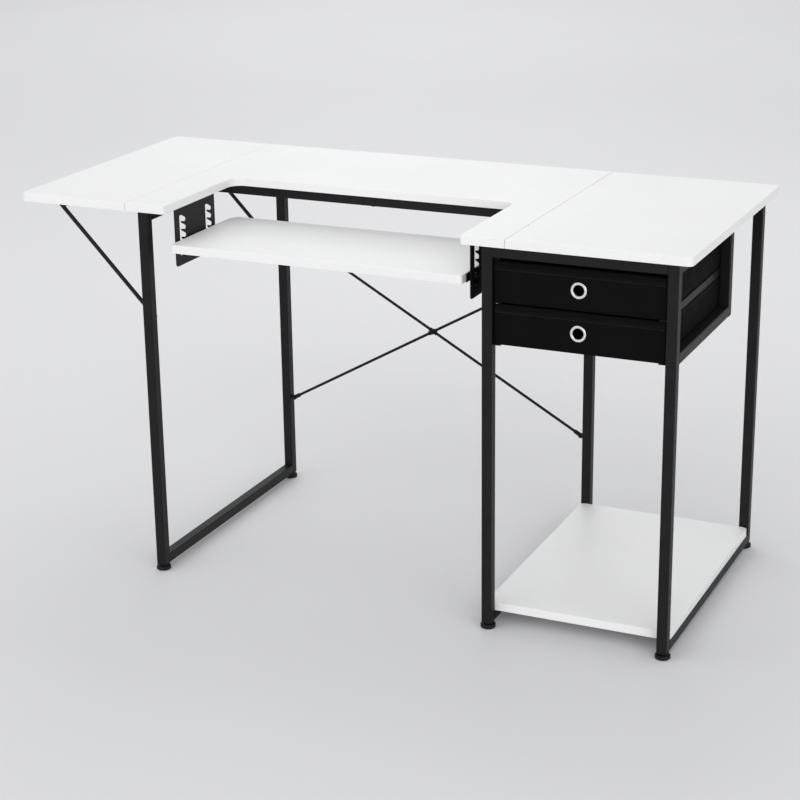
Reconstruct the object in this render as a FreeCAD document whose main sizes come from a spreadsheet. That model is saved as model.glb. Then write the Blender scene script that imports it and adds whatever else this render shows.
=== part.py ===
import FreeCAD, Part
import os
import re
import Sketcher

# Folding sewing table: a worktop in three boards on square-tube frames, with a drop
# leaf on struts, a height-adjustable machine platform, fabric drawers and a shelf.
# Frame: X to the right, Y to the back, Z up, origin on the floor under the middle.

# Driving sizes in millimetres
SIZES = {
    # Worktop boards
    "leaf_width": 236,
    "main_width": 778,
    "right_width": 341,
    "seam_gap": 1,
    "top_depth": 597,
    "top_height": 760,
    "board_thickness": 16,
    "board_corner": 10,
    "board_easing": 1.2,
    "left_wing": 85.5,
    "right_wing": 85.5,
    "notch_depth": 275,
    "notch_corner": 26,
    "wing_corner": 5,
    # Square-tube frames
    "tube_size": 20,
    "tube_wall": 1.2,
    "tube_corner": 1.8,
    "frame_lift": 11,
    "left_inset": 23,
    "right_inset": 24.5,
    "inner_inset": 45.5,
    "front_inset": 6.5,
    "rear_inset": 8.5,
    "mid_rail_setback": 8.5,
    "shelf_inset": 1,
    # Levelling feet and the plugs that hold them
    "foot_radius": 14.4,
    "foot_pad": 7.5,
    "foot_bevel": 1.2,
    "foot_neck": 5,
    "foot_lock_gap": 1,
    "foot_stud": 3,
    "foot_stud_reach": 22,
    "plug_height": 14,
    "plug_slack": 0.1,
    "running_gap": 0.05,
    # Drawer cage and runners
    "drawer_overhang": 1,
    "drawer_pitch": 79,
    "drawer_top_gap": 6,
    "runner_sheet": 1.5,
    "runner_web": 14,
    "runner_ledge": 14,
    "runner_gap": 1,
    "runner_nose": 6,
    # Fabric drawers and their grommets
    "drawer_setback": 5,
    "drawer_panel": 6,
    "drawer_front_height": 75,
    "drawer_box_height": 74,
    "drawer_depth": 344,
    "drawer_wall": 3,
    "drawer_base": 3,
    "drawer_side_gap": 1.5,
    "drawer_seat_gap": 0.3,
    "drawer_base_slack": 0.5,
    "panel_side_gap": 1.5,
    "ring_outer": 15,
    "ring_bore": 10.4,
    "ring_sleeve": 11.8,
    "ring_reach": 3,
    "ring_flange": 2,
    "ring_bevel": 0.8,
    # Machine platform, its rails and its studs
    "platform_drop": 78,
    "platform_front_gap": 14.5,
    "platform_side_gap": 1.5,
    "platform_back_gap": 10,
    "platform_corner": 24,
    "bar_sheet": 1.5,
    "bar_start": 21,
    "bar_length": 155,
    "bar_rise": 15,
    "bar_flange": 18,
    "skirt_start": 6,
    "skirt_drop": 20.5,
    "stud_rise": 7,
    "stud_radius": 3.25,
    "stud_slack": 0.1,
    "stud_collar": 5.2,
    "stud_collar_height": 1.2,
    "stud_overrun": 2.5,
    "lift_up": 52,
    "lift_down": 21,
    # Height plates with comb slots
    "plate_front": 44,
    "plate_width": 153.5,
    "plate_sheet": 2,
    "plate_gap": 2.5,
    "plate_margin": 18.5,
    "plate_corner": 6,
    "plate_flange": 20,
    "plate_screw_inset": 28,
    "stud_front": 21,
    "stud_spacing": 100,
    "slot_slack": 0.75,
    "stud_seat": 0.3,
    "slot_round": 3,
    "hook_pitch": 15.6,
    "hook_reach": 21,
    "hook_slope": 4.4,
    "hook_end": 7.6,
    "hook_end_round": 3.4,
    "finger_tip": 3.4,
    "finger_round": 1.3,
    # Leaf hinges
    "hinge_inset": 110,
    "hinge_length": 60,
    "hinge_sheet": 1.5,
    "hinge_margin": 3,
    "knuckle_radius": 3,
    "knuckle_gap": 0.3,
    "hinge_pin": 1.5,
    "hinge_screw_offset": 20,
    "hinge_screw_in": 9,
    # Leaf struts, their pivots and clips
    "strut_offset": 6,
    "strut_drop": 215,
    "strut_radius": 4,
    "strut_eye": 5.4,
    "strut_eye_sheet": 3,
    "strut_eye_neck": 16,
    "strut_neck_half": 4.6,
    "strut_side_gap": 0.3,
    "strut_pin": 3,
    "strut_pin_length": 20,
    "pivot_radius": 3,
    "pivot_flange": 4.4,
    "pivot_head": 1.2,
    "clip_reach": 166.5,
    "clip_plate": 3.6,
    "clip_gap": 0.4,
    "clip_wall": 3,
    "clip_lip": 2.6,
    "clip_lip_start": 2,
    "clip_lead": 5,
    "clip_tail": 21,
    "clip_screw": 15,
    "clip_width": 13,
    "clip_offset": 5.5,
    # Crossed brace rods, tabs and bolts
    "brace_low": 193,
    "brace_high": 575,
    "brace_radius": 3,
    "brace_pad": 2.5,
    "brace_eye": 5.5,
    "brace_neck": 16,
    "brace_neck_half": 4.4,
    "crossing_neck": 9,
    "tab_sheet": 3,
    "tab_hole_in": 7,
    "tab_half": 4,
    "tab_round": 5,
    "bolt_radius": 2,
    "bolt_slack": 0.2,
    "bolt_head": 3.8,
    "bolt_head_height": 2.4,
    "nut_radius": 4,
    "nut_height": 3.4,
    # Screws that hold the boards
    "screw_radius": 2,
    "screw_slack": 0.15,
    "screw_head": 4.2,
    "screw_head_height": 2,
    "screw_tip_gap": 1,
    "screw_cover": 5,
    "screw_spread": 200,
}

# Places and sizes that follow from the driving ones
FOLLOWING = {
    "half_width": "(leaf_width + main_width + right_width + 2 * seam_gap) / 2",
    "half_depth": "top_depth / 2",
    "under_top": "top_height - board_thickness",
    "main_left": "leaf_width + seam_gap - half_width",
    "main_right": "main_left + main_width",
    "notch_left": "main_left + left_wing",
    "notch_right": "main_right - right_wing",
    "notch_back": "notch_depth - half_depth",
    "left_frame": "main_left + left_inset",
    "right_frame": "half_width - right_inset - tube_size",
    "inner_frame": "main_right - inner_inset",
    "front_leg": "front_inset - half_depth",
    "rear_leg": "half_depth - rear_inset - tube_size",
    "rail_start": "front_leg + tube_size",
    "rail_length": "rear_leg - rail_start",
    "top_rail": "under_top - tube_size",
    "shelf_base": "frame_lift + tube_size",
    "pilot_depth": "board_thickness - screw_cover",
    "screw_grip": "pilot_depth - screw_tip_gap",
    "mid_rail": "notch_back + mid_rail_setback",
    "mid_rail_left": "left_frame + tube_size",
    "mid_rail_length": "inner_frame - mid_rail_left",
    "bay_left": "inner_frame + tube_size",
    "bay_width": "right_frame - bay_left",
    "cage_base": "top_rail - drawer_top_gap - 2 * drawer_pitch",
    "drawer_front": "front_leg + drawer_setback",
    "drawer_back": "drawer_front + drawer_panel + drawer_depth",
    "cage_back": "drawer_back - drawer_overhang - tube_size",
    "cage_depth": "cage_back - rail_start",
    "runner_start": "drawer_front + drawer_panel + runner_gap",
    "runner_length": "cage_back + tube_size - runner_start",
    "drawer_width": "bay_width - 2 * (runner_sheet + drawer_side_gap)",
    "drawer_left": "bay_left + runner_sheet + drawer_side_gap",
    "panel_overlap": "runner_sheet + drawer_side_gap - panel_side_gap",
    "ring_height": "drawer_front_height / 2",
    "platform_left": "notch_left + platform_side_gap",
    "platform_right": "notch_right - platform_side_gap",
    "platform_front": "platform_front_gap - half_depth",
    "platform_back": "notch_back - platform_back_gap",
    "platform_base": "under_top - platform_drop",
    "stud_height": "platform_base + stud_rise",
    "plate_start": "plate_front - half_depth",
    "bar_from": "platform_front + bar_start",
    "stud_on_bar": "plate_start + stud_front - bar_from",
    "stud_length": "platform_side_gap + plate_gap + plate_sheet + stud_overrun",
    "slot_half": "stud_radius + slot_slack",
    "slot_low": "stud_height - lift_down - stud_radius - stud_seat - under_top",
    "slot_high": "stud_height + lift_up + stud_radius + stud_seat - under_top",
    "plate_height": "plate_margin - slot_low",
    "hook_mouth": "hook_pitch - finger_tip",
    "hook_lip": "slot_high - hook_mouth",
    "hook_base": "hook_lip - hook_slope",
    "hinge_x": "main_left - seam_gap / 2",
    "hinge_z": "under_top - knuckle_radius - knuckle_gap",
    "knuckle_length": "(hinge_length - 2 * knuckle_gap) / 3",
    "hinge_start": "knuckle_radius + knuckle_gap",
    "hinge_plate": "left_inset - hinge_margin - hinge_start",
    "strut_x": "left_frame + tube_size / 2",
    "strut_z": "under_top - strut_drop",
    "clip_x": "hinge_x - clip_reach",
    "clip_depth": "clip_plate + clip_gap + strut_pin",
    "clip_z": "under_top - clip_depth",
    "clip_height": "clip_depth + strut_pin + clip_gap + clip_lip",
    "strut_run": "strut_x - clip_x",
    "strut_rise": "clip_z - strut_z",
    "strut_length": "sqrt(strut_run * strut_run + strut_rise * strut_rise)",
    "strut_angle": "atan2(strut_rise; 0 - strut_run)",
    "strut_spacer": "strut_offset - strut_eye_sheet / 2 - strut_side_gap",
    "strut_grip": "strut_eye_sheet + 2 * strut_side_gap",
    "brace_left": "left_frame + tube_size + tab_hole_in",
    "brace_run": "inner_frame - tab_hole_in - brace_left",
    "brace_rise": "brace_high - brace_low",
    "brace_length": "sqrt(brace_run * brace_run + brace_rise * brace_rise)",
    "brace_angle": "atan2(brace_rise; brace_run)",
    "tab_front": "rear_leg + (tube_size - tab_sheet) / 2",
    "brace_apart": "tab_sheet + brace_pad",
}

doc = FreeCAD.newDocument("sewing_table")
sheet = doc.addObject("Spreadsheet::Sheet", "dims")
parts = []

# Turns that lay a cylinder's own Z axis along a direction
TURNS = {
    "Z": FreeCAD.Rotation(),
    "-Z": FreeCAD.Rotation(FreeCAD.Vector(1, 0, 0), 180),
    "X": FreeCAD.Rotation(FreeCAD.Vector(0, 1, 0), 90),
    "-X": FreeCAD.Rotation(FreeCAD.Vector(0, 1, 0), -90),
    "Y": FreeCAD.Rotation(FreeCAD.Vector(1, 0, 0), -90),
    "-Y": FreeCAD.Rotation(FreeCAD.Vector(1, 0, 0), 90),
}

# Distance within which a measured place counts as the one looked for
TOLERANCE = 1e-4

# Axes that swing a rod from +X towards +Z or towards -Z
UPWARDS = FreeCAD.Vector(0, -1, 0)
DOWNWARDS = FreeCAD.Vector(0, 1, 0)


def fill_sheet():
    """Write each size to a cell of its own, named by its alias."""
    rows = {name: str(value) for name, value in SIZES.items()}
    rows.update({name: "=" + formula for name, formula in FOLLOWING.items()})
    for row, (name, text) in enumerate(rows.items(), 1):
        sheet.set("A%d" % row, text)
        sheet.setAlias("A%d" % row, name)
    doc.recompute()


def cells(text):
    """The expression with each size read from the sheet."""
    return re.sub(r"\b[a-z]\w*\b(?!\()", r"dims.\g<0>", text)


def amount(text):
    """The expression's present value."""
    return float(sheet.evalExpression(text))


def bind(item, **texts):
    for path, text in texts.items():
        item.setExpression(path, cells(text))


def place(item, corner):
    for axis, text in zip("xyz", corner):
        item.setExpression("Placement.Base." + axis, cells(text))


def keep(item, label):
    """Name a finished sub-part and list it for writing."""
    item.Label = label
    parts.append(item)
    return item


def new_body(label, corner):
    body = doc.addObject("PartDesign::Body", label)
    place(body, corner)
    return keep(body, label)


def new_sketch(body, role):
    sketch = body.newObject("Sketcher::SketchObject", body.Name + "_sketch")
    plane = next(item for item in body.Origin.OriginFeatures if item.Role == role)
    sketch.AttachmentSupport = (plane, [""])
    sketch.MapMode = "FlatFace"
    return sketch


def fix_point(sketch, geometry, point, where):
    """Tie a point of the sketch to two expressions."""
    for kind, text in zip(("DistanceX", "DistanceY"), where):
        tie = sketch.addConstraint(Sketcher.Constraint(kind, -1, 1, geometry, point, amount(text)))
        sketch.setExpression("Constraints[%d]" % tie, cells(text))


def add_outline(sketch, corners):
    """A closed run of straight lines through corners given as expressions."""
    spots = [FreeCAD.Vector(amount(x), amount(y), 0) for x, y in corners]
    first = sketch.GeometryCount
    count = len(corners)
    for index in range(count):
        sketch.addGeometry(Part.LineSegment(spots[index], spots[(index + 1) % count]), False)
    for index in range(count):
        follower = first + (index + 1) % count
        sketch.addConstraint(Sketcher.Constraint("Coincident", first + index, 2, follower, 1))
    for index, corner in enumerate(corners):
        fix_point(sketch, first + index, 1, corner)


def add_rectangle(sketch, low, high):
    add_outline(sketch, [low, (high[0], low[1]), high, (low[0], high[1])])


def add_circles(sketch, centres, radius):
    for x, y in centres:
        centre = FreeCAD.Vector(amount(x), amount(y), 0)
        shape = Part.Circle(centre, FreeCAD.Vector(0, 0, 1), amount(radius))
        circle = sketch.addGeometry(shape, False)
        fix_point(sketch, circle, 3, (x, y))
        tie = sketch.addConstraint(Sketcher.Constraint("Radius", circle, amount(radius)))
        sketch.setExpression("Constraints[%d]" % tie, cells(radius))


def pad(body, sketch, length, backwards=False):
    feature = body.newObject("PartDesign::Pad", body.Name + "_pad")
    feature.Profile = sketch
    feature.Reversed = backwards
    bind(feature, Length=length)
    doc.recompute()
    return feature


def pocket(body, sketch, depth=None, backwards=True):
    """Cut a sketch into the body, right through where no depth is given."""
    before = body.Shape.Volume
    feature = body.newObject("PartDesign::Pocket", body.Name + "_pocket")
    feature.Profile = sketch
    feature.Reversed = backwards
    if depth is None:
        feature.Type = "ThroughAll"
    else:
        bind(feature, Length=depth)
    doc.recompute()
    if body.Shape.Volume >= before:
        raise RuntimeError("nothing was cut from " + body.Label)
    return feature


def round_edges(body, radius, chosen):
    """Fillet the edges of the body that a test picks, seen in the body's own frame."""
    base = body.Tip
    names = ["Edge%d" % (index + 1) for index, edge in enumerate(base.Shape.Edges) if chosen(edge)]
    if not names:
        raise RuntimeError("no edge to round on " + body.Label)
    feature = body.newObject("PartDesign::Fillet", body.Name + "_fillet")
    feature.Base = (base, names)
    bind(feature, Radius=radius)
    doc.recompute()


def runs_along(edge, axis):
    """True for a straight edge that runs along X, Y or Z."""
    if edge.Curve.TypeId != "Part::GeomLine":
        return False
    size = [edge.BoundBox.XLength, edge.BoundBox.YLength, edge.BoundBox.ZLength]
    across = [size[other] for other in range(3) if other != "XYZ".index(axis)]
    return max(across) < TOLERANCE


def near(value, text):
    return abs(value - amount(text)) < TOLERANCE


def box(name, corner, size):
    item = doc.addObject("Part::Box", name)
    bind(item, Length=size[0], Width=size[1], Height=size[2])
    place(item, corner)
    return item


def rod(name, start, radius, length, along):
    item = doc.addObject("Part::Cylinder", name)
    bind(item, Radius=radius, Height=length)
    item.Placement = FreeCAD.Placement(FreeCAD.Vector(), TURNS[along])
    place(item, start)
    return item


def fuse(name, items):
    item = doc.addObject("Part::MultiFuse", name)
    item.Shapes = items
    return item


def cut(name, base, tool):
    item = doc.addObject("Part::Cut", name)
    item.Base = base
    item.Tool = tool
    return item


def group(label, items):
    """One sub-part made of several separate solids."""
    item = doc.addObject("Part::Compound", label)
    item.Links = items
    return keep(item, label)


def swing(item, axis, angle, corner):
    """Turn a finished shape about an axis by a positive angle and move it into place."""
    item.Placement = FreeCAD.Placement(FreeCAD.Vector(), FreeCAD.Rotation(axis, 90))
    item.setExpression("Placement.Rotation.Angle", cells(angle))
    place(item, corner)


# Square tube along Z, Y or X, from its lowest corner

TUBE_PLANES = {"Z": ("XY_Plane", False), "Y": ("XZ_Plane", True), "X": ("YZ_Plane", False)}


def tube(label, along, corner, length, holes=()):
    """Hollow square tube with rounded corners and upright screw holes."""
    role, backwards = TUBE_PLANES[along]
    body = new_body(label, corner)
    sketch = new_sketch(body, role)
    add_rectangle(sketch, ("0", "0"), ("tube_size", "tube_size"))
    inner = "tube_size - tube_wall"
    add_rectangle(sketch, ("tube_wall", "tube_wall"), (inner, inner))
    pad(body, sketch, length, backwards)
    box_size = body.Tip.Shape.BoundBox

    def outer_corner(edge):
        middle = edge.BoundBox.Center
        at_side = [
            min(middle[index] - low, high - middle[index]) < TOLERANCE
            for index, low, high in (
                (0, box_size.XMin, box_size.XMax),
                (1, box_size.YMin, box_size.YMax),
                (2, box_size.ZMin, box_size.ZMax),
            )
        ]
        return runs_along(edge, along) and sum(at_side) == 2

    round_edges(body, "tube_corner", outer_corner)
    if holes:
        sketch = new_sketch(body, "XY_Plane")
        add_circles(sketch, holes, "screw_radius + screw_slack")
        pocket(body, sketch)
    return body


def board(label, corner, outline, rounds, pilots):
    """Flat board from its underside, with rounded corners, eased top edges and pilot holes."""
    body = new_body(label, corner)
    sketch = new_sketch(body, "XY_Plane")
    add_outline(sketch, outline)
    pad(body, sketch, "board_thickness")
    for radius, spots in rounds:
        round_edges(
            body,
            radius,
            lambda edge: runs_along(edge, "Z")
            and any(near(edge.BoundBox.XMin, x) and near(edge.BoundBox.YMin, y) for x, y in spots),
        )
    round_edges(body, "board_easing", lambda edge: near(edge.BoundBox.ZMin, "board_thickness"))
    if pilots:
        sketch = new_sketch(body, "XY_Plane")
        add_circles(sketch, pilots, "screw_radius + screw_slack")
        pocket(body, sketch, "pilot_depth")
    return body


def screw(name, spot, length):
    """Wood screw driven upwards, with its head under the given spot."""
    x, y, z = spot
    head = rod(name + "_head", (x, y, z), "screw_head", "screw_head_height", "-Z")
    shank = rod(name + "_shank", (x, y, z), "screw_radius", length, "Z")
    return fuse(name, [head, shank])


def bolt(name, spot, grip, spacer=None):
    """Bolt along +Y with its head in front of the given spot and a nut behind the grip."""
    x, y, z = spot
    head = rod(name + "_head", (x, y, z), "bolt_head", "bolt_head_height", "-Y")
    shank = rod(name + "_shank", (x, y, z), "bolt_radius", "%s + nut_height" % grip, "Y")
    nut = doc.addObject("Part::Prism", name + "_nut")
    nut.Polygon = 6
    bind(nut, Circumradius="nut_radius", Height="nut_height")
    nut.Placement = FreeCAD.Placement(FreeCAD.Vector(), TURNS["Y"])
    place(nut, (x, "%s + %s" % (y, grip), z))
    pieces = [head, shank, nut]
    if spacer:
        pieces.append(rod(name + "_spacer", (x, spacer, z), "bolt_head", "tab_sheet", "Y"))
    return fuse(name, pieces)


def both_ways(text):
    return "0 - (%s)" % text, text


# Where screws pass through the tubes, and the pilots that they reach in the boards

SCREW_ROWS = both_ways("screw_spread")
TUBE_MIDDLE = "tube_size / 2"
FRAMES = {"left": "left_frame", "inner": "inner_frame", "right": "right_frame"}
LEG_ROWS = {"front": "front_leg", "rear": "rear_leg"}
PLATES = {
    "left": ("notch_left - plate_gap - plate_sheet", -1),
    "right": ("notch_right + plate_gap", 1),
}
HINGE_ROWS = both_ways("half_depth - hinge_inset")


def frame_spots(frame):
    return [("%s + tube_size / 2" % frame, y) for y in SCREW_ROWS]


def plate_spots(side):
    """Screws in the flange of a height plate."""
    x, outwards = PLATES[side]
    sign = "+" if outwards > 0 else "-"
    middle = "%s + plate_sheet / 2 %s plate_flange / 2" % (x, sign)
    ends = ("plate_start + plate_screw_inset", "plate_start + plate_width - plate_screw_inset")
    return [(middle, y) for y in ends]


def hinge_spots(outwards):
    """Screws of the hinge plates on one side of the seam."""
    x = "hinge_x %s (hinge_start + hinge_screw_in)" % ("+" if outwards > 0 else "-")
    return [(x, "%s %s hinge_screw_offset" % (y, sign)) for y in HINGE_ROWS for sign in "+-"]


def strut_rows():
    """Depth of each strut's rod, and which way its pin points along Y."""
    return {"front": ("rail_start + strut_offset", 1), "rear": ("rear_leg - strut_offset", -1)}


def clip_low(row):
    y, inwards = strut_rows()[row]
    return "%s + clip_offset" % y if inwards > 0 else "%s - clip_offset - clip_width" % y


CLIP_SPOTS = [("clip_x + clip_screw", "%s + clip_width / 2" % clip_low(row)) for row in ("front", "rear")]
MID_RAIL_SPOT = ("mid_rail_left + mid_rail_length / 2", "mid_rail + tube_size / 2")
UNIT_RAIL_SPOTS = [("bay_left + bay_width / 2", "%s + tube_size / 2" % row) for row in LEG_ROWS.values()]


def make_boards():
    """The three boards of the worktop, the platform and the shelf."""
    front = "0 - half_depth"
    outer = [("main_left", front), ("notch_left", front), ("notch_left", "notch_back")]
    outer += [("notch_right", "notch_back"), ("notch_right", front), ("main_right", front)]
    outer += [("main_right", "half_depth"), ("main_left", "half_depth")]
    pilots = frame_spots("left_frame") + frame_spots("inner_frame") + [MID_RAIL_SPOT]
    pilots += hinge_spots(1) + plate_spots("left") + plate_spots("right")
    rounds = [("notch_corner", [outer[2], outer[3]]), ("wing_corner", [outer[1], outer[4]])]
    board("main_top", ("0", "0", "under_top"), outer, rounds, pilots)

    def rectangle(left, right, front="0 - half_depth", back="half_depth"):
        return [(left, front), (right, front), (right, back), (left, back)]

    outline = rectangle("main_right + seam_gap", "half_width")
    pilots = frame_spots("right_frame") + UNIT_RAIL_SPOTS
    board("right_top", ("0", "0", "under_top"), outline, [("board_corner", outline[1:3])], pilots)

    outline = rectangle("0 - half_width", "main_left - seam_gap")
    rounds = [("board_corner", [outline[0], outline[3]])]
    board("left_leaf", ("0", "0", "under_top"), outline, rounds, hinge_spots(-1) + CLIP_SPOTS)

    outline = rectangle("platform_left", "platform_right", "platform_front", "platform_back")
    rounds = [("wing_corner", outline[:2]), ("platform_corner", outline[2:])]
    pilots = bar_spots("left") + bar_spots("right")
    board("platform_board", ("0", "0", "platform_base"), outline, rounds, pilots)

    sides = ("inner_frame + shelf_inset", "right_frame + tube_size - shelf_inset")
    outline = rectangle(*sides, "rail_start + shelf_inset", "rear_leg - shelf_inset")
    pilots = frame_spots("inner_frame") + frame_spots("right_frame")
    board("bottom_shelf", ("0", "0", "shelf_base"), outline, [("board_corner", outline)], pilots)


def make_frames():
    """Three end frames, the rails between them and the drawer cage."""
    rail_holes = [(TUBE_MIDDLE, "%s - rail_start" % y) for y in SCREW_ROWS]
    for name, x in FRAMES.items():
        for row, y in LEG_ROWS.items():
            tube("%s_%s_leg" % (name, row), "Z", (x, y, "frame_lift"), "under_top - frame_lift")
        shelf_holes = [] if name == "left" else rail_holes
        low = (x, "rail_start", "frame_lift")
        tube("%s_bottom_rail" % name, "Y", low, "rail_length", shelf_holes)
        tube("%s_top_rail" % name, "Y", (x, "rail_start", "top_rail"), "rail_length", rail_holes)
    middle = [("mid_rail_length / 2", TUBE_MIDDLE)]
    corner = ("mid_rail_left", "mid_rail", "top_rail")
    tube("mid_cross_rail", "X", corner, "mid_rail_length", middle)
    middle = [("bay_width / 2", TUBE_MIDDLE)]
    for row, y in LEG_ROWS.items():
        tube("unit_%s_rail" % row, "X", ("bay_left", y, "top_rail"), "bay_width", middle)
    for name in ("inner", "right"):
        x = FRAMES[name]
        tube("%s_cage_rail" % name, "Y", (x, "rail_start", "cage_base"), "cage_depth")
        tube("%s_cage_post" % name, "Z", (x, "cage_back", "cage_base"), "top_rail - cage_base")


def make_feet():
    """A levelling foot under each leg, and the plugs that hold their threads."""
    plugs = []
    side = "tube_size - 2 * (tube_wall + plug_slack)"
    for name, x in FRAMES.items():
        for row, y in LEG_ROWS.items():
            middle = ("%s + tube_size / 2" % x, "%s + tube_size / 2" % y)
            body = new_body("%s_%s_foot" % (name, row), (middle[0], middle[1], "0"))
            sketch = new_sketch(body, "XZ_Plane")
            edge = "foot_radius - foot_bevel"
            lock = "frame_lift - foot_lock_gap"
            end = "frame_lift + foot_stud_reach"
            profile = [("0", "0"), (edge, "0"), ("foot_radius", "foot_bevel")]
            profile += [("foot_radius", "foot_pad - foot_bevel"), (edge, "foot_pad")]
            profile += [("foot_neck", "foot_pad"), ("foot_neck", lock), ("foot_stud", lock)]
            add_outline(sketch, profile + [("foot_stud", end), ("0", end)])
            turn = body.newObject("PartDesign::Revolution", body.Name + "_turn")
            turn.Profile = sketch
            turn.ReferenceAxis = (sketch, ["V_Axis"])
            turn.Angle = 360
            plug = "%s_%s_plug" % (name, row)
            base = "%s + tube_wall + plug_slack"
            corner = (base % x, base % y, "frame_lift")
            block = box(plug + "_block", corner, (side, side, "plug_height"))
            spot = (middle[0], middle[1], "frame_lift")
            bore = rod(plug + "_bore", spot, "foot_stud + running_gap", "plug_height", "Z")
            plugs.append(cut(plug, block, bore))
    group("leg_plugs", plugs)


def make_runners():
    """Angle runners that carry the drawers, each with a flat nose under the drawer's front."""
    for level, floor in (("lower", "cage_base"), ("upper", "cage_base + drawer_pitch")):
        for name, x, sign in (("inner", "bay_left", ""), ("right", "right_frame", "0 - ")):
            body = new_body("%s_%s_runner" % (level, name), (x, "runner_start", floor))
            ledge = sign + "runner_ledge"
            web = sign + "runner_sheet"
            sketch = new_sketch(body, "XZ_Plane")
            profile = [("0", "0"), (ledge, "0"), (ledge, "runner_sheet"), (web, "runner_sheet")]
            profile += [(web, "runner_web"), ("0", "runner_web")]
            add_outline(sketch, profile)
            pad(body, sketch, "runner_length", True)
            sketch = new_sketch(body, "XZ_Plane")
            add_rectangle(sketch, ("0", "0"), (ledge, "runner_sheet"))
            pad(body, sketch, "runner_nose")


def make_drawers():
    """Two open fabric drawers, each with a stiffening board and a grommet in its front."""
    for level, floor in (("lower", "cage_base"), ("upper", "cage_base + drawer_pitch")):
        seat = "%s + runner_sheet + drawer_seat_gap" % floor
        body = new_body("%s_drawer_box" % level, ("drawer_left", "drawer_front", seat))
        sketch = new_sketch(body, "XY_Plane")
        add_rectangle(sketch, ("0", "drawer_panel"), ("drawer_width", "drawer_panel + drawer_depth"))
        pad(body, sketch, "drawer_box_height")
        sketch = new_sketch(body, "XY_Plane")
        high = ("drawer_width + panel_overlap", "drawer_panel")
        add_rectangle(sketch, ("0 - panel_overlap", "0"), high)
        pad(body, sketch, "drawer_front_height")
        sketch = new_sketch(body, "XY_Plane")
        sketch.setExpression("AttachmentOffset.Base.z", cells("drawer_wall"))
        inner_back = "drawer_panel + drawer_depth - drawer_wall"
        low = ("drawer_wall", "drawer_panel + drawer_wall")
        add_rectangle(sketch, low, ("drawer_width - drawer_wall", inner_back))
        pocket(body, sketch, "drawer_front_height")
        sketch = new_sketch(body, "XZ_Plane")
        add_circles(sketch, [("drawer_width / 2", "ring_height")], "ring_sleeve + plug_slack")
        pocket(body, sketch, "drawer_panel + drawer_wall", False)

        slack = "drawer_wall + drawer_base_slack"
        start = "drawer_front + drawer_panel + %s" % slack
        corner = ("drawer_left + %s" % slack, start, seat + " + drawer_wall")
        size = ("drawer_width - 2 * (%s)" % slack, "drawer_depth - 2 * (%s)" % slack, "drawer_base")
        keep(box("%s_drawer_base" % level, corner, size), "%s_drawer_base" % level)

        middle = ("bay_left + bay_width / 2", "drawer_front", seat + " + ring_height")
        body = new_body("%s_drawer_ring" % level, middle)
        sketch = new_sketch(body, "XY_Plane")
        brim = "0 - ring_flange"
        step = "ring_bevel - ring_flange"
        profile = [("ring_bore", step), ("ring_bore + ring_bevel", brim)]
        profile += [("ring_outer - ring_bevel", brim), ("ring_outer", step), ("ring_outer", "0")]
        profile += [("ring_sleeve", "0"), ("ring_sleeve", "ring_reach"), ("ring_bore", "ring_reach")]
        add_outline(sketch, profile)
        turn = body.newObject("PartDesign::Revolution", body.Name + "_turn")
        turn.Profile = sketch
        turn.ReferenceAxis = (sketch, ["V_Axis"])
        turn.Angle = 360


HOOKS = 5


def make_plates():
    """Height plates under the sides of the notch, with a comb slot for each stud."""
    for side, (x, outwards) in PLATES.items():
        body = new_body("%s_height_plate" % side, (x, "plate_start", "under_top"))
        sketch = new_sketch(body, "YZ_Plane")
        add_rectangle(sketch, ("0", "0 - plate_height"), ("plate_width", "0"))
        pad(body, sketch, "plate_sheet")
        round_edges(
            body,
            "plate_corner",
            lambda edge: runs_along(edge, "X") and near(edge.BoundBox.ZMin, "0 - plate_height"),
        )
        low, high = ("plate_sheet", "plate_sheet + plate_flange")
        if outwards < 0:
            low, high = ("0 - plate_flange", "0")
        sketch = new_sketch(body, "XY_Plane")
        add_rectangle(sketch, (low, "0"), (high, "plate_width"))
        pad(body, sketch, "plate_sheet", True)
        sketch = new_sketch(body, "XY_Plane")
        local = [("%s - (%s)" % (spot, x), "%s - plate_start" % y) for spot, y in plate_spots(side)]
        add_circles(sketch, local, "screw_radius + screw_slack")
        pocket(body, sketch, "plate_sheet", False)

        columns = ("stud_front", "stud_front + stud_spacing")
        sketch = new_sketch(body, "YZ_Plane")
        for column in columns:
            low = (column + " - slot_half", "slot_low")
            add_rectangle(sketch, low, (column + " + slot_half", "slot_high"))
        pocket(body, sketch, "plate_sheet")
        sketch = new_sketch(body, "YZ_Plane")
        for column in columns:
            mouth = column + " + slot_half"
            tip = column + " + hook_reach"
            hook = [(column, "hook_lip"), (mouth, "hook_lip"), (tip, "hook_base")]
            hook += [(tip, "hook_base + hook_end"), (mouth, "slot_high"), (column, "slot_high")]
            add_outline(sketch, hook)
        hooks = pocket(body, sketch, "plate_sheet")
        comb = body.newObject("PartDesign::LinearPattern", body.Name + "_comb")
        comb.Originals = [hooks]
        comb.Direction = (sketch, ["V_Axis"])
        comb.Reversed = True
        comb.Occurrences = HOOKS
        bind(comb, Length="%d * hook_pitch" % (HOOKS - 1))
        body.Tip = comb
        doc.recompute()
        roundings = {
            "hook_end_round": "hook_reach",
            "finger_round": "slot_half",
            "slot_round": "0 - slot_half",
        }
        for radius, offset in roundings.items():
            lines = ["%s + %s" % (column, offset) for column in columns]
            round_edges(
                body,
                radius,
                lambda edge: runs_along(edge, "X") and any(near(edge.BoundBox.YMin, y) for y in lines),
            )


BARS = {"left": ("platform_left", -1), "right": ("platform_right", 1)}


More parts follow.
